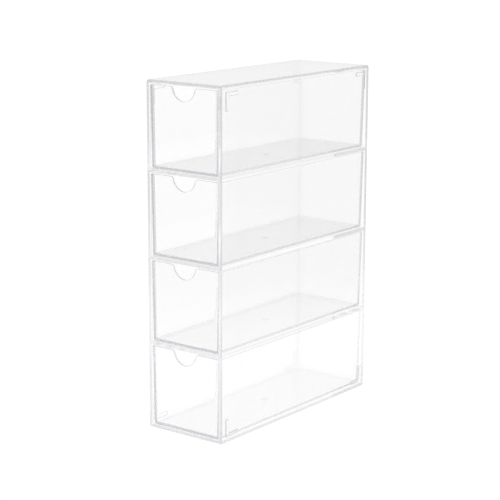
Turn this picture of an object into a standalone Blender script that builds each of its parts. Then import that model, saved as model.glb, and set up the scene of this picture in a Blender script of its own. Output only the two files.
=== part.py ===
"""Clear four-drawer eyewear storage box.

An upright, open-fronted case of flat clear plates (two sides, top, bottom,
back and three shelves) holds four one-piece moulded trays that slide out at
the front. Each tray has a flat front plate with a half-round finger notch in
its top edge, and walls that lean in towards the floor.

Metres. +X to the right seen from the front, the front faces -Y, +Z up.
The origin is on the floor, under the middle of the case.
"""
import math

import bmesh
import bpy
from mathutils import Matrix, Vector

# ---------------------------------------------------------------- dimensions
BODY_WIDTH = 0.0658        # over the two side panels, without the corner ridges
DEPTH = 0.177              # front rim to the back of the case
HEIGHT = 0.249
PLATE = 0.0025             # every plate of the case but the back
BACK_PLATE = 0.0020
BOND = 0.0003              # room kept between two plates that are bonded
EDGE = 0.0004              # broken edge of the plates
SHELVES = 3
BAYS = SHELVES + 1

RIDGE_HEIGHT = 0.0006      # L-shaped corner ridges on the outside of the sides
RIDGE_WIDTH = 0.0031
RIDGE_LEG_Y = 0.0138
RIDGE_LEG_Z = 0.0131
RIDGE_INSET = 0.0043       # from the panel's edges to the ridge

SIDE_PLAY = 0.0004         # tray to side panel
FLOOR_PLAY = 0.0003        # tray to the shelf that it rests on
HEAD_PLAY = 0.0008         # tray to the shelf above it
BACK_PLAY = 0.0005         # tray to the back panel
FRONT_RECESS = 0.0003      # tray front behind the rim of the case

FRONT_PLATE = 0.0015       # tray front
TRAY_WALL = 0.0012         # tray walls at the rim
TRAY_FLOOR = 0.0016
DRAFT = 0.0010             # how far each outer wall leans in, rim to floor
CORE_DRAFT = 0.0011        # the same for the inner walls
STEP_IN = 0.0001           # walls of the tray behind the edges of its front
FRONT_EDGE = 0.0004

NOTCH_RADIUS = 0.0096      # half-round finger notch
NOTCH_SHOULDER = 0.0025    # rounding where the notch meets the top edge
NOTCH_STEPS = 24

BAY_WIDTH = BODY_WIDTH - 2 * PLATE
BAY_HEIGHT = (HEIGHT - (BAYS + 1) * PLATE) / BAYS
PITCH = BAY_HEIGHT + PLATE
TRAY_WIDTH = BAY_WIDTH - 2 * SIDE_PLAY
TRAY_HEIGHT = BAY_HEIGHT - FLOOR_PLAY - HEAD_PLAY
TRAY_LENGTH = DEPTH - FRONT_RECESS - BACK_PLATE - BACK_PLAY

# ---------------------------------------------------------------- clean start
for old in list(bpy.data.objects):
    bpy.data.objects.remove(old, do_unlink=True)

model = bpy.data.collections.new("eyewear_storage_box")
guides = bpy.data.collections.new("cutters")
bpy.context.scene.collection.children.link(model)
bpy.context.scene.collection.children.link(guides)


# ---------------------------------------------------------------- helpers
def clear_plastic(name, tint=(0.93, 0.95, 0.97), roughness=0.04):
    mat = bpy.data.materials.new(name)
    mat.use_nodes = True
    shader = mat.node_tree.nodes["Principled BSDF"]
    shader.inputs["Base Color"].default_value = (*tint, 1.0)
    shader.inputs["Roughness"].default_value = roughness
    shader.inputs["Metallic"].default_value = 0.0
    shader.inputs["IOR"].default_value = 1.49
    shader.inputs["Transmission Weight"].default_value = 0.95
    return mat


def add_object(name, bm, collection, location=(0.0, 0.0, 0.0)):
    mesh = bpy.data.meshes.new(name)
    bmesh.ops.recalc_face_normals(bm, faces=bm.faces)
    bm.to_mesh(mesh)
    bm.free()
    obj = bpy.data.objects.new(name, mesh)
    obj.location = location
    collection.objects.link(obj)
    return obj


def block(low, high):
    """A box between two corners, as a bmesh."""
    bm = bmesh.new()
    size = Vector(high) - Vector(low)
    centre = (Vector(high) + Vector(low)) / 2
    bmesh.ops.create_cube(bm, size=1.0, matrix=Matrix.Translation(centre) @ Matrix.Diagonal((*size, 1.0)))
    return bm


def break_edges(bm, chosen, width, segments=1):
    """Bevel the edges for which chosen(edge) holds."""
    edges = [e for e in bm.edges if chosen(e)]
    bmesh.ops.bevel(bm, geom=edges, offset=width, segments=segments, profile=0.5, affect='EDGES', clamp_overlap=True)


def both(edge, axis, value, tol=1e-6):
    """Do both ends of an edge lie on the plane axis = value?"""
    return all(abs(v.co[axis] - value) < tol for v in edge.verts)


def use_as_cutter(obj):
    obj.hide_render = True
    obj.display_type = 'WIRE'
    return obj


def boolean(obj, other, operation):
    mod = obj.modifiers.new(f"{operation.lower()}_{other.name}", 'BOOLEAN')
    mod.operation = operation
    mod.solver = 'EXACT'
    mod.object = other
    return mod


# ---------------------------------------------------------------- the case
def corner_ridge(name, side, front, top):
    """L-shaped ridge in one corner of a side panel's outer face.

    The upright leg is a box; it is split at the corner and the corner's inner
    face is drawn out into the level leg.
    """
    y0 = -DEPTH / 2 + RIDGE_INSET
    z0 = RIDGE_INSET
    x_in = BODY_WIDTH / 2 - 0.0010
    x_out = BODY_WIDTH / 2 + RIDGE_HEIGHT
    bm = block((x_in, y0, z0), (x_out, y0 + RIDGE_WIDTH, z0 + RIDGE_LEG_Z))
    bmesh.ops.bisect_plane(bm, geom=bm.verts[:] + bm.edges[:] + bm.faces[:],
                           plane_co=(0, 0, z0 + RIDGE_WIDTH), plane_no=(0, 0, 1))
    inner = [f for f in bm.faces
             if f.normal.y > 0.9 and f.calc_center_median().z < z0 + RIDGE_WIDTH]
    drawn = bmesh.ops.extrude_face_region(bm, geom=inner)
    moved = [g for g in drawn["geom"] if isinstance(g, bmesh.types.BMVert)]
    bmesh.ops.translate(bm, verts=moved, vec=(0, RIDGE_LEG_Y - RIDGE_WIDTH, 0))
    bmesh.ops.delete(bm, geom=[f for f in inner if f.is_valid], context='FACES_ONLY')
    bmesh.ops.recalc_face_normals(bm, faces=bm.faces)
    flip = Matrix.Diagonal((side, -1 if not front else 1, 1, 1))
    bmesh.ops.transform(bm, matrix=flip, verts=bm.verts)
    if top:
        bmesh.ops.transform(bm, matrix=Matrix.Translation((0, 0, HEIGHT)) @ Matrix.Diagonal((1, 1, -1, 1)), verts=bm.verts)
    bmesh.ops.recalc_face_normals(bm, faces=bm.faces)
    return use_as_cutter(add_object(name, bm, guides))


def side_panel(name, side):
    inner, outer = BODY_WIDTH / 2 - PLATE, BODY_WIDTH / 2
    xs = sorted((side * inner, side * outer))
    bm = block((xs[0], -DEPTH / 2, 0), (xs[1], DEPTH / 2, HEIGHT))
    break_edges(bm, lambda e: both(e, 0, side * outer), EDGE, 2)
    panel = add_object(name, bm, model)
    for front in (True, False):
        for top in (True, False):
            ridge = corner_ridge(f"{name}_ridge_{'front' if front else 'back'}_{'top' if top else 'bottom'}",
                                 side, front, top)
            boolean(panel, ridge, 'UNION')
    return panel


def level_plate(name, z):
    """Top, bottom and shelves: between the sides, from the front rim to the back panel."""
    half = BAY_WIDTH / 2 - BOND
    bm = block((-half, -DEPTH / 2, z), (half, DEPTH / 2 - BACK_PLATE - BOND, z + PLATE))
    break_edges(bm, lambda e: both(e, 1, -DEPTH / 2) and abs(e.verts[0].co.x - e.verts[1].co.x) > 0.01, EDGE / 2)
    return add_object(name, bm, model)


def back_plate(name):
    half = BAY_WIDTH / 2 - BOND
    bm = block((-half, DEPTH / 2 - BACK_PLATE, 0), (half, DEPTH / 2, HEIGHT))
    break_edges(bm, lambda e: both(e, 1, DEPTH / 2) and (both(e, 2, 0) or both(e, 2, HEIGHT)), EDGE)
    return add_object(name, bm, model)


case_parts = [
    side_panel("left_side_panel", -1),
    side_panel("right_side_panel", 1),
    back_plate("back_panel"),
    level_plate("bottom_panel", 0.0),
    level_plate("lower_shelf", PITCH),
    level_plate("middle_shelf", 2 * PITCH),
    level_plate("upper_shelf", 3 * PITCH),
    level_plate("top_panel", 4 * PITCH),
]
for part in case_parts:
    part.data.materials.append(clear_plastic(f"clear_{part.name}"))


# ---------------------------------------------------------------- the trays
def notch_outline():
    """Half round with rounded shoulders, around (0, 0) on the tray's top edge."""
    r, f = NOTCH_RADIUS, NOTCH_SHOULDER
    cx = math.sqrt((r + f) ** 2 - f ** 2)          # middle of a shoulder's arc, f below the edge
    meet = math.atan2(-f, cx)                      # where shoulder and half round touch, seen from (0, 0)
    right = []
    for i in range(7):                             # shoulder, from the top edge down
        a = math.pi / 2 + (math.pi + meet - math.pi / 2) * i / 6
        right.append((cx + f * math.cos(a), -f + f * math.sin(a)))
    bowl = []
    for i in range(1, NOTCH_STEPS):                # half round, right to left
        a = meet + (-math.pi - 2 * meet) * i / NOTCH_STEPS
        bowl.append((r * math.cos(a), r * math.sin(a)))
    left = [(-x, y) for x, y in reversed(right)]
    lip = [(-cx, 0.002), (cx, 0.002)]              # above the edge, so that the cut is clean
    return right + bowl + left + lip


def flat_cutter(name, outline, thickness):
    """A filled 2D curve, made a mesh so that it can cut."""
    curve = bpy.data.curves.new(name + "_outline", 'CURVE')
    curve.dimensions = '2D'
    curve.fill_mode = 'BOTH'
    curve.extrude = thickness / 2
    spline = curve.splines.new('POLY')
    spline.points.add(len(outline) - 1)
    for point, (x, y) in zip(spline.points, outline):
        point.co = (x, y, 0, 1)
    spline.use_cyclic_u = True
    drawn = bpy.data.objects.new(name + "_outline", curve)
    guides.objects.link(drawn)
    bpy.context.view_layer.update()
    mesh = bpy.data.meshes.new_from_object(drawn.evaluated_get(bpy.context.evaluated_depsgraph_get()))
    bpy.data.objects.remove(drawn, do_unlink=True)
    bm = bmesh.new()
    bm.from_mesh(mesh)
    bpy.data.meshes.remove(mesh)
    bmesh.ops.remove_doubles(bm, verts=bm.verts, dist=1e-6)
    bmesh.ops.transform(bm, matrix=Matrix.Rotation(math.pi / 2, 4, 'X'), verts=bm.verts)
    return use_as_cutter(add_object(name, bm, guides))


def leaning_block(low, high, lean):
    """A box whose sides and back lean in by lean from its top to its bottom."""
    bm = block(low, high)
    for v in bm.verts:
        if v.co.z < (low[2] + high[2]) / 2:
            v.co.x += lean if v.co.x < 0 else -lean
            if v.co.y > (low[1] + high[1]) / 2:
                v.co.y -= lean
    return bm


def tray_mesh():
    """One tray, around the middle of the lower edge of its front."""
    half = TRAY_WIDTH / 2
    front = block((-half, 0, 0), (half, FRONT_PLATE, TRAY_HEIGHT))
    break_edges(front, lambda e: both(e, 1, 0), FRONT_EDGE, 2)
    tray = add_object("tray_pattern", front, guides)

    body = leaning_block((-half + STEP_IN, FRONT_PLATE / 2, 0), (half - STEP_IN, TRAY_LENGTH, TRAY_HEIGHT), DRAFT)
    break_edges(body, lambda e: both(e, 2, 0), 0.0006, 2)
    body = use_as_cutter(add_object("tray_body", body, guides))

    above = 0.004                                  # the hollow runs out past the rim
    slope = CORE_DRAFT / (TRAY_HEIGHT - TRAY_FLOOR)
    hollow = leaning_block(
        (-half + STEP_IN + TRAY_WALL - slope * above, FRONT_PLATE, TRAY_FLOOR),
        (half - STEP_IN - TRAY_WALL + slope * above, TRAY_LENGTH - TRAY_WALL + slope * above, TRAY_HEIGHT + above),
        slope * (TRAY_HEIGHT + above - TRAY_FLOOR))
    break_edges(hollow, lambda e: both(e, 2, TRAY_FLOOR) or
                abs(e.verts[0].co.z - e.verts[1].co.z) > 0.01, 0.0008, 2)
    hollow = use_as_cutter(add_object("tray_hollow", hollow, guides))

    notch = flat_cutter("finger_notch", notch_outline(), 4 * FRONT_PLATE)
    notch.location = (0, FRONT_PLATE / 2, TRAY_HEIGHT)

    boolean(tray, body, 'UNION')
    boolean(tray, hollow, 'DIFFERENCE')
    boolean(tray, notch, 'DIFFERENCE')
    bpy.context.view_layer.update()
    mesh = bpy.data.meshes.new_from_object(tray.evaluated_get(bpy.context.evaluated_depsgraph_get()))
    for obj in (tray, body, hollow, notch):
        bpy.data.objects.remove(obj, do_unlink=True)
    mesh.name = "tray"
    return mesh


pattern = tray_mesh()
for bay, name in enumerate(["bottom_drawer", "third_drawer", "second_drawer", "top_drawer"]):
    slide = bpy.data.objects.new(f"{name}_slide", None)      # on the line that the tray slides along
    slide.empty_display_type = 'SINGLE_ARROW'
    slide.empty_display_size = 0.05
    slide.location = (0, -DEPTH / 2 + FRONT_RECESS, PLATE + FLOOR_PLAY + bay * PITCH)
    model.objects.link(slide)
    mesh = pattern.copy()
    mesh.name = name
    tray = bpy.data.objects.new(name, mesh)
    tray.parent = slide
    model.objects.link(tray)
    mesh.materials.append(clear_plastic(f"clear_{name}", tint=(0.94, 0.955, 0.97)))
bpy.data.meshes.remove(pattern)
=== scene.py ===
"""Looks of the clear four-drawer eyewear storage box.

The case is one clear shell, cut into its eight plates where they are bonded:
a bond face is clear through and through, so only outer faces show. Each tray
is a thin moulded shell with rounded corners, leaning walls and a flat front
plate with a half-round finger notch.
"""
import math

import bmesh
import bpy
from mathutils import Matrix, Vector


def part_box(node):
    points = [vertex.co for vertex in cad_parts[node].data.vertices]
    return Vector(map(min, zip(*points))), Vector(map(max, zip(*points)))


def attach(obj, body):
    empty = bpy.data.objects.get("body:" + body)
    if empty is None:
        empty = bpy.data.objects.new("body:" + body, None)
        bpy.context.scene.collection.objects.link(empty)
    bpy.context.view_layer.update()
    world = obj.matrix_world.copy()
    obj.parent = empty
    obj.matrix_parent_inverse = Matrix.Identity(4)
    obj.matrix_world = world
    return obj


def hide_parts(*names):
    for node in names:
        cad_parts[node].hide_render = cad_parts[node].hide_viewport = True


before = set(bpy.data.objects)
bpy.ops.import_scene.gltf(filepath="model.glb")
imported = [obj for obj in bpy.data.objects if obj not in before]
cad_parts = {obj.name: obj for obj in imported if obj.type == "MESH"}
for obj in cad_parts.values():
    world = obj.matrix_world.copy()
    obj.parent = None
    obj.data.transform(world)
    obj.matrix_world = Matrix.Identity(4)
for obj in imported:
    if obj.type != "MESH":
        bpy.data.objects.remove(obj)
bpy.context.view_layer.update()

# ---------------------------------------------------------------- dimensions, from the frame
SIDE_LO, SIDE_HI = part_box("right_side_panel")
SHELF_LO, SHELF_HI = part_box("lower_shelf")
BOTTOM_LO, BOTTOM_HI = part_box("bottom_panel")
BACK_LO, BACK_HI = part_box("back_panel")
PLATE = BOTTOM_HI.z - BOTTOM_LO.z
INNER = SIDE_LO.x                              # inner face of the right side panel
OUTER = INNER + PLATE                          # its outer face, without the ridges
FRONT, BACK = SIDE_LO.y, SIDE_HI.y
HEIGHT = SIDE_HI.z
PITCH = SHELF_LO.z - BOTTOM_LO.z
BAYS = 4
BAY_BACK = BACK_LO.y                           # the bays end at the back panel

CASE_EDGE = 0.0015                             # rounding of the case's outer edges
UPRIGHT_EDGE = 0.0009                          # the same for the two upright ones in front
RIM_EDGE = 0.00035                             # rounding of the bays' edges on the front rim

RIDGE_RISE = SIDE_HI.x - OUTER
RIDGE_WIDTH = 0.0031
RIDGE_LEG_Y = 0.0138
RIDGE_LEG_Z = 0.0131
RIDGE_INSET = 0.0043

FRONT_PLATE = 0.0015
TRAY_WALL = 0.0012
TRAY_FLOOR = 0.0016
DRAFT = 0.0010
CORE_DRAFT = 0.0011
STEP_IN = 0.0
FRONT_EDGE = 0.0004
NOTCH_RADIUS = 0.0096
NOTCH_SHOULDER = 0.0025
GATE_RADIUS = 0.0030                           # mark of the moulding gate, in the middle of the tray's floor
GATE_DEPTH = 0.00015
GATE_BEHIND = 0.0028

ABOUT = 1e-6


# ---------------------------------------------------------------- helpers
def new_object(name, bm):
    mesh = bpy.data.meshes.new(name)
    bm.to_mesh(mesh)
    bm.free()
    obj = bpy.data.objects.new(name, mesh)
    bpy.context.scene.collection.objects.link(obj)
    return obj


def block(low, high):
    bm = bmesh.new()
    size = Vector(high) - Vector(low)
    centre = (Vector(high) + Vector(low)) / 2
    bmesh.ops.create_cube(bm, size=1.0, matrix=Matrix.Translation(centre) @ Matrix.Diagonal((*size, 1.0)))
    for v in bm.verts:                         # exactly on the given planes
        v.co = [low[i] if v.co[i] < centre[i] else high[i] for i in range(3)]
    return bm


def outward(bm):
    """Turn every face of a closed mesh outwards."""
    bmesh.ops.recalc_face_normals(bm, faces=bm.faces)
    if bm.calc_volume(signed=True) < 0:
        bmesh.ops.reverse_faces(bm, faces=bm.faces)
    return bm


def applied(obj):
    """The object with its modifiers applied."""
    bpy.context.view_layer.update()
    mesh = bpy.data.meshes.new_from_object(obj.evaluated_get(bpy.context.evaluated_depsgraph_get()))
    obj.modifiers.clear()
    old, obj.data = obj.data, mesh
    bpy.data.meshes.remove(old)
    return obj


def boolean(obj, other, operation):
    mod = obj.modifiers.new("cut", 'BOOLEAN')
    mod.operation = operation
    mod.solver = 'EXACT'
    mod.object = other
    applied(obj)
    bpy.data.objects.remove(other, do_unlink=True)
    return obj


def quarter(radius, steps):
    """(offset, depth) pairs round a quarter circle: from (radius, 0) to (0, radius)."""
    return [(radius * (1 - math.sin(i * math.pi / 2 / steps)), radius * (1 - math.cos(i * math.pi / 2 / steps)))
            for i in range(steps + 1)]


def level(k):
    """Underside of plate k, from 0, the bottom, to BAYS, the top."""
    return BOTTOM_LO.z + k * PITCH


# ---------------------------------------------------------------- the case
def case_shell():
    """The whole case as one shell: a block with rounded edges, and four bays sunk in from the front."""
    blank = new_object("case_blank", block((-OUTER, FRONT, 0), (OUTER, BACK, HEIGHT)))
    mesh = blank.data
    weights = mesh.attributes.new("bevel_weight_edge", 'FLOAT', 'EDGE')
    for edge in mesh.edges:
        ends = [mesh.vertices[i].co for i in edge.vertices]
        upright_in_front = all(v.y < 0 for v in ends) and ends[0].x * ends[1].x > 0
        weights.data[edge.index].value = UPRIGHT_EDGE / CASE_EDGE if upright_in_front else 1.0
    mod = blank.modifiers.new("rounding", 'BEVEL')
    mod.limit_method = 'WEIGHT'
    mod.width = CASE_EDGE
    mod.segments = 8
    mod.profile = 0.5
    applied(blank)
    bm = bmesh.new()
    bm.from_mesh(blank.data)
    bpy.data.objects.remove(blank, do_unlink=True)
    bmesh.ops.remove_doubles(bm, verts=bm.verts, dist=1e-7)

    def front_faces():
        return [f for f in bm.faces if f.normal.y < -0.999 and f.calc_area() > 1e-7]

    def cut(co, no):
        faces = front_faces()
        edges = {e for f in faces for e in f.edges}
        verts = {v for f in faces for v in f.verts}
        bmesh.ops.bisect_plane(bm, geom=list(verts) + list(edges) + faces, plane_co=co, plane_no=no, dist=1e-7)

    steps = quarter(RIM_EDGE, 4)
    for side in (-1, 1):
        cut((side * (INNER + RIM_EDGE), 0, 0), (1, 0, 0))
    for k in range(BAYS):
        cut((0, 0, level(k) + PLATE - RIM_EDGE), (0, 0, 1))
        cut((0, 0, level(k + 1) + RIM_EDGE), (0, 0, 1))
    for k in range(BAYS):
        z0, z1 = level(k) + PLATE, level(k + 1)
        cell = [f for f in front_faces() if abs(f.calc_center_median().x) < 0.01
                and z0 < f.calc_center_median().z < z1][0]
        for offset, depth in steps[1:] + [(0.0, BAY_BACK - FRONT)]:
            drawn = bmesh.ops.extrude_face_region(bm, geom=[cell])
            verts = [g for g in drawn["geom"] if isinstance(g, bmesh.types.BMVert)]
            new = [g for g in drawn["geom"] if isinstance(g, bmesh.types.BMFace)][0]
            if cell.is_valid:
                bmesh.ops.delete(bm, geom=[cell], context='FACES_ONLY')
            for v in verts:
                v.co.x = math.copysign(INNER + offset, v.co.x)
                v.co.z = (z0 - offset) if v.co.z < (z0 + z1) / 2 else (z1 + offset)
                v.co.y = FRONT + depth
            cell = new
    return outward(bm)


def ridge(side, front, top):
    """L-shaped ridge in one corner of a side panel's outer face, with broken edges."""
    y0, z0 = FRONT + RIDGE_INSET, RIDGE_INSET
    outline = [(y0, z0), (y0 + RIDGE_LEG_Y, z0), (y0 + RIDGE_LEG_Y, z0 + RIDGE_WIDTH),
               (y0 + RIDGE_WIDTH, z0 + RIDGE_WIDTH), (y0 + RIDGE_WIDTH, z0 + RIDGE_LEG_Z), (y0, z0 + RIDGE_LEG_Z)]
    bm = bmesh.new()
    base = bm.faces.new([bm.verts.new((OUTER - 0.001, y, z)) for y, z in outline])
    drawn = bmesh.ops.extrude_face_region(bm, geom=[base])
    for g in drawn["geom"]:
        if isinstance(g, bmesh.types.BMVert):
            g.co.x = OUTER + RIDGE_RISE
    bmesh.ops.recalc_face_normals(bm, faces=bm.faces)
    edges = [e for e in bm.edges if max(v.co.x for v in e.verts) > OUTER]
    bmesh.ops.bevel(bm, geom=edges, offset=0.00055, segments=4, profile=0.5, affect='EDGES')
    for v in bm.verts:
        v.co.x *= side
        if not front:
            v.co.y = FRONT + BACK - v.co.y
        if top:
            v.co.z = HEIGHT - v.co.z
    return new_object("ridge", outward(bm))


def in_a_bay(z):
    return any(level(k) + PLATE < z < level(k + 1) for k in range(BAYS))


def bonded(face):
    """Does this face lie in a bond plane, and against a neighbour rather than a bay?"""
    c = face.calc_center_median()
    if abs(abs(c.x) - INNER) < ABOUT and abs(face.normal.x) > 0.999:
        return c.y > BAY_BACK or not in_a_bay(c.z)
    if abs(c.y - BAY_BACK) < ABOUT and abs(face.normal.y) > 0.999:
        return not in_a_bay(c.z)
    return False


def satin_with_painted_shade(face):
    """Is this face part of a rounded outer edge of the case, or of a ridge's flank? Those get the satin edge, whose
    grey tint is painted shade.
    """
    n = face.normal
    c = face.calc_center_median()
    if abs(c.x) > OUTER + ABOUT:
        return abs(n.x) < 0.99
    if max(abs(n.x), abs(n.y), abs(n.z)) > 0.9999:
        return False
    near = (abs(abs(c.x) - OUTER) < CASE_EDGE) + (min(c.y - FRONT, BACK - c.y) < CASE_EDGE) + (min(c.z, HEIGHT - c.z) < CASE_EDGE)
    return near >= 2


def lighter_painted_edge(face):
    """Is this rounded edge an upright one at the front, or one along the bottom? Those get a lighter copy of the
    satin edge: painted light.
    """
    c = face.calc_center_median()
    return c.z < CASE_EDGE or (c.y < FRONT + CASE_EDGE and CASE_EDGE < c.z < HEIGHT - CASE_EDGE)


def finished(bm):
    """Faces get their material: 0 polished, 1 bonded, 2 satin with a grey tint of painted shade, 3 satin with a
    lighter tint, painted light.
    """
    for f in bm.faces:
        f.material_index = 1 if bonded(f) else 0 if not satin_with_painted_shade(f) else 3 if lighter_painted_edge(f) else 2


def share(shell, name, low, high):
    """The part of the shell in this box."""
    part = bpy.data.objects.new(name, shell.data.copy())
    bpy.context.scene.collection.objects.link(part)
    boolean(part, new_object("share", block(low, high)), 'INTERSECT')
    bm = bmesh.new()
    bm.from_mesh(part.data)
    bmesh.ops.remove_doubles(bm, verts=bm.verts, dist=1e-7)
    outward(bm)
    finished(bm)
    bm.to_mesh(part.data)
    bm.free()
    return part


def plates():
    shell = new_object("case_shell", case_shell())
    out = 0.01
    far = OUTER + RIDGE_RISE + out
    made = {
        "right_side_panel": share(shell, "right_side_panel_clear", (INNER, FRONT - out, -out), (far, BACK + out, HEIGHT + out)),
        "left_side_panel": share(shell, "left_side_panel_clear", (-far, FRONT - out, -out), (-INNER, BACK + out, HEIGHT + out)),
        "back_panel": share(shell, "back_panel_clear", (-INNER, BAY_BACK, -out), (INNER, BACK + out, HEIGHT + out)),
    }
    # a level plate's box runs from the middle of the bay under it to the middle of the bay over it
    for k, name in enumerate(["bottom_panel", "lower_shelf", "middle_shelf", "upper_shelf", "top_panel"]):
        mid = level(k) + PLATE / 2
        made[name] = share(shell, name + "_clear", (-INNER, FRONT - out, mid - PITCH / 2), (INNER, BAY_BACK, mid + PITCH / 2))
    for name, side in (("right_side_panel", 1), ("left_side_panel", -1)):
        for front in (True, False):
            for top in (True, False):
                boolean(made[name], ridge(side, front, top), 'UNION')
        bm = bmesh.new()
        bm.from_mesh(made[name].data)
        bmesh.ops.remove_doubles(bm, verts=bm.verts, dist=2e-7)
        bmesh.ops.holes_fill(bm, edges=[e for e in bm.edges if e.is_boundary], sides=6)
        outward(bm)
        finished(bm)
        bm.to_mesh(made[name].data)
        bm.free()
    bpy.data.objects.remove(shell, do_unlink=True)
    return made


# ---------------------------------------------------------------- the trays
def ring(x, y0, y1, z, radius, arc=5):
    """Rounded rectangle at height z, from -x to x and from y0 to y1."""
    points = []
    r = max(radius, 1e-5)
    for cx, cy, a0 in ((x - r, y1 - r, 0), (-x + r, y1 - r, 90), (-x + r, y0 + r, 180), (x - r, y0 + r, 270)):
        for i in range(arc + 1):
            a = math.radians(a0 + 90 * i / arc)
            points.append((cx + r * math.cos(a), cy + r * math.sin(a), z))
    return points


def loft(bm, rings):
    rows = [[bm.verts.new(p) for p in points] for points in rings]
    for a, b in zip(rows, rows[1:]):
        for i in range(len(a)):
            j = (i + 1) % len(a)
            bm.faces.new((a[i], a[j], b[j], b[i]))
    bm.faces.new(list(reversed(rows[0])))
    bm.faces.new(rows[-1])
    return rows


def tray_sizes():
    low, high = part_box("bottom_drawer")
    return high.x, high.y - low.y, high.z - low.z


def tray_body():
    """The tray's walls and floor: round outside, over the rim, and down the inside, as one closed skin."""
    half, length, height = tray_sizes()
    foot, lip, fillet = 0.0013, 0.00025, 0.0013
    v_out, v_in = 0.0011, 0.0020
    x_top = half - STEP_IN
    y_front = FRONT_PLATE * 0.5

    def outer(z, off=0.0, rad=v_out):
        lean = DRAFT * (1 - z / height)
        return ring(x_top - lean - off, y_front + off, length - lean - off, z, max(rad - off, 0.0002))

    def inner(z, off=0.0, rad=v_in):
        lean = CORE_DRAFT * (1 - (z - TRAY_FLOOR) / (height - TRAY_FLOOR))
        return ring(x_top - TRAY_WALL - lean - off, FRONT_PLATE + off, length - TRAY_WALL - lean - off, z, max(rad - off, 0.0002))

    rings = []
    for offset, depth in quarter(foot, 5):                      # from the underside up round the foot
        rings.append(outer(depth, off=offset))
    for i in range(1, 6):
        rings.append(outer(foot + (height - lip - foot) * i / 5))
    for offset, depth in reversed(quarter(lip, 3)[:-1]):
        rings.append(outer(height - depth, off=offset))
    for offset, depth in quarter(lip, 3):
        rings.append(inner(height - depth, off=-offset))
    for i in range(1, 6):
        z = height - lip + (TRAY_FLOOR + fillet - height + lip) * i / 5
        rings.append(inner(z))
    for offset, depth in reversed(quarter(fillet, 5)[:-1]):
        rings.append(inner(TRAY_FLOOR + depth, off=offset))
    bm = bmesh.new()
    loft(bm, rings)
    return outward(bm)


def front_plate():
    """Flat front of the tray, with rounded edges."""
    half, length, height = tray_sizes()
    bm = block((-half, 0, 0), (half, FRONT_PLATE, height))
    front = [e for e in bm.edges if all(v.co.y < ABOUT for v in e.verts)]
    rear = [e for e in bm.edges if all(v.co.y > FRONT_PLATE - ABOUT for v in e.verts)]
    corner = [e for e in bm.edges if abs(e.verts[0].co.y - e.verts[1].co.y) > ABOUT]
    bmesh.ops.bevel(bm, geom=front, offset=FRONT_EDGE, segments=4, profile=0.5, affect='EDGES')
    return bm


def notch_outline(grow):
    """Half round with rounded shoulders, around (0, 0) on the top edge, grown outwards by grow."""
    r, f = NOTCH_RADIUS, NOTCH_SHOULDER
    cx = math.sqrt((r + f) ** 2 - f ** 2)
    meet = math.atan2(-f, cx)
    rr, ff = r + grow, f - grow
    right = []
    for i in range(11):
        a = math.pi / 2 + (math.pi + meet - math.pi / 2) * i / 10
        right.append((cx + ff * math.cos(a), -f + ff * math.sin(a)))
    bowl = []
    for i in range(1, 48):
        a = meet + (-math.pi - 2 * meet) * i / 48
        bowl.append((rr * math.cos(a), rr * math.sin(a)))
    left = [(-x, y) for x, y in reversed(right)]
    lip = [(-cx, 0.003), (cx, 0.003)]
    return right + bowl + left + lip


def notch_cutter(height):
    """The notch as a solid that flares at both faces of the front plate, so that its edges are rounded."""
    edge = 0.0005
    rows = [(-0.001, edge)] + [(d, o) for o, d in quarter(edge, 4)]
    rows += [(FRONT_PLATE - d, o) for o, d in reversed(quarter(edge, 4))] + [(FRONT_PLATE + 0.001, edge)]
    bm = bmesh.new()
    loops = []
    for y, grow in rows:
        loops.append([bm.verts.new((x, y, height + z)) for x, z in notch_outline(grow)])
    for a, b in zip(loops, loops[1:]):
        for i in range(len(a)):
            j = (i + 1) % len(a)
            bm.faces.new((a[i], a[j], b[j], b[i]))
    bm.faces.new(list(reversed(loops[0])))
    bm.faces.new(loops[-1])
    return new_object("notch", outward(bm))


def gate_cutter(length):
    """Shallow round dimple that the moulding gate leaves in the middle of the floor, as a solid."""
    bm = bmesh.new()
    bmesh.ops.create_cone(bm, cap_ends=True, segments=48, radius1=GATE_RADIUS - 0.0006, radius2=GATE_RADIUS,
                          depth=2 * GATE_DEPTH, matrix=Matrix.Translation((0, length / 2 + GATE_BEHIND, TRAY_FLOOR)))
    return new_object("gate", outward(bm))


def tray():
    half, length, height = tray_sizes()
    obj = new_object("tray", front_plate())
    boolean(obj, new_object("body", tray_body()), 'UNION')
    boolean(obj, notch_cutter(height), 'DIFFERENCE')
    boolean(obj, gate_cutter(length), 'DIFFERENCE')
    bm = bmesh.new()
    bm.from_mesh(obj.data)
    for f in bm.faces:
        c = f.calc_center_median()
        in_notch = abs(c.x) < NOTCH_RADIUS + NOTCH_SHOULDER and height - c.z > ABOUT and 0 < c.y < FRONT_PLATE
        round_front = c.y < FRONT_EDGE - ABOUT and abs(f.normal.y) < 0.999
        in_gate = math.hypot(c.x, c.y - length / 2 - GATE_BEHIND) < GATE_RADIUS and TRAY_FLOOR - GATE_DEPTH - ABOUT < c.z < TRAY_FLOOR - ABOUT
        # the notch and the rounded front edges get the satin edge, whose grey tint paints shade on them
        f.material_index = 1 if round_front or (in_notch and abs(f.normal.y) < 0.95 and c.z > height - 0.012) else 2 if in_gate else 0
    bm.to_mesh(obj.data)
    bm.free()
    return obj


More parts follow.
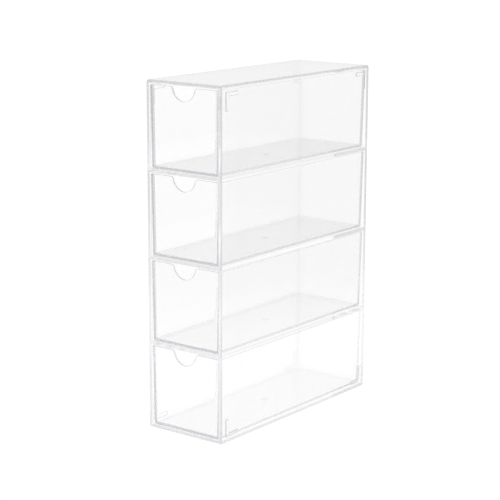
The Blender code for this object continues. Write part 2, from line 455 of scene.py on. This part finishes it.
# ---------------------------------------------------------------- materials
def clear_plastic(name, tint, wave_scale, wave, smoothest, roughest):
    mat = bpy.data.materials.new(name)
    mat.use_nodes = True
    nodes, links = mat.node_tree.nodes, mat.node_tree.links
    shader = nodes["Principled BSDF"]
    shader.inputs["Base Color"].default_value = (*tint, 1.0)
    shader.inputs["Metallic"].default_value = 0.0
    shader.inputs["IOR"].default_value = 1.49
    shader.inputs["Transmission Weight"].default_value = 1.0
    coords = nodes.new("ShaderNodeTexCoord")
    flow = nodes.new("ShaderNodeTexNoise")
    flow.inputs["Scale"].default_value = wave_scale
    flow.inputs["Detail"].default_value = 1.5
    bump = nodes.new("ShaderNodeBump")
    bump.inputs["Strength"].default_value = wave
    bump.inputs["Distance"].default_value = 0.0004
    links.new(coords.outputs["Object"], flow.inputs["Vector"])
    links.new(flow.outputs["Fac"], bump.inputs["Height"])
    links.new(bump.outputs["Normal"], shader.inputs["Normal"])
    rub = nodes.new("ShaderNodeTexNoise")
    rub.inputs["Scale"].default_value = 140.0
    rub.inputs["Detail"].default_value = 4.0
    span = nodes.new("ShaderNodeMapRange")
    span.inputs["To Min"].default_value = smoothest
    span.inputs["To Max"].default_value = roughest
    links.new(coords.outputs["Object"], rub.inputs["Vector"])
    links.new(rub.outputs["Fac"], span.inputs["Value"])
    links.new(span.outputs["Result"], shader.inputs["Roughness"])
    return mat


def satin(name, tint, roughness):
    """Moulded edges: not polished, so they blur the light through them; a grey tint holds back some of it, painted
    shade on the edges.
    """
    return clear_plastic(name, tint, 60.0, 0.05, roughness - 0.04, roughness + 0.04)


def bond():
    mat = bpy.data.materials.new("bonded_joint")
    mat.use_nodes = True
    shader = mat.node_tree.nodes["Principled BSDF"]
    shader.inputs["Alpha"].default_value = 0.0
    shader.inputs["Roughness"].default_value = 0.0
    return mat


case_plastic = clear_plastic("clear_case_plastic", (1.0, 1.0, 1.0), 55.0, 0.02, 0.03, 0.08)
tray_plastic = clear_plastic("clear_tray_plastic", (1.0, 1.0, 1.0), 45.0, 0.03, 0.04, 0.09)
joint = bond()
# satin edge: rough like an unpolished moulded edge, with a grey tint that is painted shade on the edge lines
edge_plastic_painted_shade = satin("satin_moulded_edge_painted_shade", (0.66, 0.655, 0.69), 0.20)
# a lighter copy of the satin edge for the front uprights and the bottom edges: painted light
edge_plastic_painted_light = satin("satin_edge_painted_light", (0.86, 0.855, 0.88), 0.18)
gate_plastic = satin("satin_gate_mark", (0.93, 0.93, 0.94), 0.25)

murk = tray_plastic.node_tree.nodes.new("ShaderNodeVolumeAbsorption")
murk.inputs["Color"].default_value = (0.02, 0.0, 0.2, 1.0)
murk.inputs["Density"].default_value = 1.35
tray_plastic.node_tree.links.new(murk.outputs["Volume"], tray_plastic.node_tree.nodes["Material Output"].inputs["Volume"])

# ---------------------------------------------------------------- build
for name, piece in plates().items():
    piece.data.materials.append(case_plastic)
    piece.data.materials.append(joint)
    piece.data.materials.append(edge_plastic_painted_shade)
    piece.data.materials.append(edge_plastic_painted_light)
    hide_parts(name)
    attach(piece, "case")

pattern = tray()
for node, body in (("bottom_drawer", "bottom_tray"), ("third_drawer", "third_tray"),
                   ("second_drawer", "second_tray"), ("top_drawer", "top_tray")):
    low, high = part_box(node)
    piece = bpy.data.objects.new(node + "_clear", pattern.data.copy())
    piece.data.transform(Matrix.Translation((0, low.y, low.z)))
    bpy.context.scene.collection.objects.link(piece)
    piece.data.materials.append(tray_plastic)
    piece.data.materials.append(edge_plastic_painted_shade)
    piece.data.materials.append(gate_plastic)
    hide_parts(node)
    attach(piece, body)
bpy.data.objects.remove(pattern, do_unlink=True)

# ---------------------------------------------------------------- stage
class Maths:
    """Shorthand for chains of math nodes."""

    def __init__(self, tree):
        self.tree = tree

    def op(self, kind, *values, clamp=False):
        node = self.tree.nodes.new("ShaderNodeMath")
        node.operation = kind
        node.use_clamp = clamp
        for socket, value in zip(node.inputs, values):
            if isinstance(value, bpy.types.NodeSocket):
                self.tree.links.new(value, socket)
            else:
                socket.default_value = value
        return node.outputs[0]

    def weighted(self, *pairs):
        total = None
        for value, weight in pairs:
            term = self.op('MULTIPLY', value, weight)
            total = term if total is None else self.op('ADD', total, term)
        return total

    def step(self, value, low, high, at_low=0.0, at_high=1.0):
        node = self.tree.nodes.new("ShaderNodeMapRange")
        node.interpolation_type = 'SMOOTHSTEP'
        self.tree.links.new(value, node.inputs["Value"])
        for name, number in (("From Min", low), ("From Max", high), ("To Min", at_low), ("To Max", at_high)):
            socket = node.inputs[name]
            if isinstance(number, bpy.types.NodeSocket):
                self.tree.links.new(number, socket)
            else:
                socket.default_value = number
        return node.outputs["Result"]


# a glowing floor, its glow painted light and shade: a bright lane runs back from the object, and a dimmer glow lies
# round it
AHEAD = (-0.608, 0.794)
LANE_NEAR_PAINTED_SHADOW, LANE = 1.0, 1.03                    # the lane glows as bright as white paper, a little less near the object: a painted contact shadow
BACK_RIGHT_NEAR, BACK_RIGHT_FAR = 0.74, 0.70   # beside the lane, to the right and behind
LEFT, RIGHT = 0.64, 0.62                       # left of the lane; the shaded side, on the right
FRONT_SIDE = 0.74

plane = bmesh.new()
bmesh.ops.create_grid(plane, x_segments=1, y_segments=1, size=30.0)
floor = new_object("studio_floor", plane)
floor.location.z = -0.0002
glowing_floor = bpy.data.materials.new("glowing_floor_painted_light")
glowing_floor.use_nodes = True
shader = glowing_floor.node_tree.nodes["Principled BSDF"]
m = Maths(glowing_floor.node_tree)
coords = glowing_floor.node_tree.nodes.new("ShaderNodeTexCoord")
split = glowing_floor.node_tree.nodes.new("ShaderNodeSeparateXYZ")
glowing_floor.node_tree.links.new(coords.outputs["Object"], split.inputs["Vector"])
px, py = split.outputs["X"], split.outputs["Y"]
along = m.weighted((px, AHEAD[0]), (py, AHEAD[1]))
across = m.op('ABSOLUTE', m.weighted((px, AHEAD[1]), (py, -AHEAD[0])))
behind = m.op('MAXIMUM', along, 0.0)
away = m.op('POWER', m.weighted((m.op('MULTIPLY', px, px), 1.0), (m.op('MULTIPLY', py, py), 1.0)), 0.5)
half = m.op('ADD', m.op('MULTIPLY', behind, 0.165), 0.20)
lane = m.step(m.op('SUBTRACT', across, half), 0.0, 0.22, 1.0, 0.0)
ahead = m.step(along, -0.55, -0.28)
lane_share = m.op('MULTIPLY', lane, ahead)
right_hand = m.weighted((px, AHEAD[1]), (py, -AHEAD[0]))                        # to the right of the lane
turn = m.op('DIVIDE', right_hand, m.op('MAXIMUM', away, 0.001))
facing = m.op('DIVIDE', along, m.op('MAXIMUM', away, 0.001))
back_right = m.step(away, 0.3, 1.3, BACK_RIGHT_NEAR, BACK_RIGHT_FAR)
back_half = m.step(turn, -0.3, 0.3, LEFT, back_right)
shaded = m.op('MULTIPLY', m.step(turn, 0.55, 0.85), m.op('MULTIPLY', m.step(facing, -0.02, 0.12, 1.0, 0.0), m.step(away, 0.15, 0.45)))
front_half = m.step(facing, -0.35, -0.05, FRONT_SIDE, back_half)
off_lane_glow = m.op('ADD', m.op('MULTIPLY', shaded, m.op('SUBTRACT', RIGHT, front_half)), front_half)
# the lane glows less near the object: painted contact shadow
lane_glow = m.step(away, 0.25, 0.8, LANE_NEAR_PAINTED_SHADOW, LANE)
floor_glow = m.op('ADD', m.op('MULTIPLY', lane_share, m.op('SUBTRACT', lane_glow, off_lane_glow)), off_lane_glow)
# the floor is nearly black and lit only by its own glow, a painted map of light and shade
shader.inputs["Base Color"].default_value = (0.02, 0.02, 0.02, 1)
shader.inputs["Specular IOR Level"].default_value = 0.0
shader.inputs["Roughness"].default_value = 0.9
shader.inputs["Emission Color"].default_value = (1, 1, 1, 1)
glowing_floor.node_tree.links.new(floor_glow, shader.inputs["Emission Strength"])
floor.data.materials.append(glowing_floor)

world = bpy.data.worlds.new("studio")
bpy.context.scene.world = world
world.use_nodes = True
sky = world.node_tree.nodes["Background"]
m = Maths(world.node_tree)
coords = world.node_tree.nodes.new("ShaderNodeTexCoord")
split = world.node_tree.nodes.new("ShaderNodeSeparateXYZ")
world.node_tree.links.new(coords.outputs["Generated"], split.inputs["Vector"])
sx, sy, sz = split.outputs["X"], split.outputs["Y"], split.outputs["Z"]
round_off = m.op('POWER', m.op('SUBTRACT', 1.0, m.op('MULTIPLY', sz, sz)), 0.5)
turn = m.op('DIVIDE', m.weighted((sx, AHEAD[1]), (sy, -AHEAD[0])), m.op('MAXIMUM', round_off, 0.01))
facing = m.op('DIVIDE', m.weighted((sx, AHEAD[0]), (sy, AHEAD[1])), m.op('MAXIMUM', round_off, 0.01))
back_wall = m.step(turn, 0.2, 0.7, 0.88, 0.95)
front_wall = m.step(facing, -0.5, 0.0, 0.75, back_wall)
shade = m.op('MULTIPLY', m.step(turn, 0.6, 0.9), m.step(facing, -0.05, 0.20, 1.0, 0.0))
wall = m.op('ADD', m.op('MULTIPLY', shade, m.op('SUBTRACT', 0.60, front_wall)), front_wall)
up = m.step(sz, 0.45, 0.8)
bright = m.op('ADD', m.op('MULTIPLY', up, m.op('SUBTRACT', 0.75, wall)), wall)
sky.inputs["Color"].default_value = (1, 1, 1, 1)
world.node_tree.links.new(bright, sky.inputs["Strength"])

cam_data = bpy.data.cameras.new("camera")
cam = bpy.data.objects.new("camera", cam_data)
bpy.context.scene.collection.objects.link(cam)
cam_data.sensor_width = 36.0
cam_data.lens = 114.448
cx = Vector((0.7931603903575316, 0.6090044593122597, 0.0031880567232076))
cy = Vector((-0.1341060197875092, 0.1695470465481626, 0.976355147711911))
cz = Vector((0.594064113227386, -0.7748337676847709, 0.2161491656953185))
cam.matrix_world = Matrix(((cx.x, cy.x, cz.x, 0.6839650943487432), (cx.y, cy.y, cz.y, -0.9060498689234809),
                           (cx.z, cy.z, cz.z, 0.369912173609089), (0, 0, 0, 1)))
cam_data.clip_start, cam_data.clip_end = 0.05, 100.0
bpy.context.scene.camera = cam

scene = bpy.context.scene
scene.view_settings.view_transform = 'Standard'
scene.view_settings.look = 'None'
scene.cycles.max_bounces = 320
scene.cycles.diffuse_bounces = 4
scene.cycles.glossy_bounces = 300
scene.cycles.transmission_bounces = 300
scene.cycles.transparent_max_bounces = 400
scene.cycles.caustics_reflective = True
scene.cycles.caustics_refractive = True
scene.cycles.blur_glossy = 0.0
scene.cycles.sample_clamp_indirect = 0.0
scene.cycles.use_denoising = True
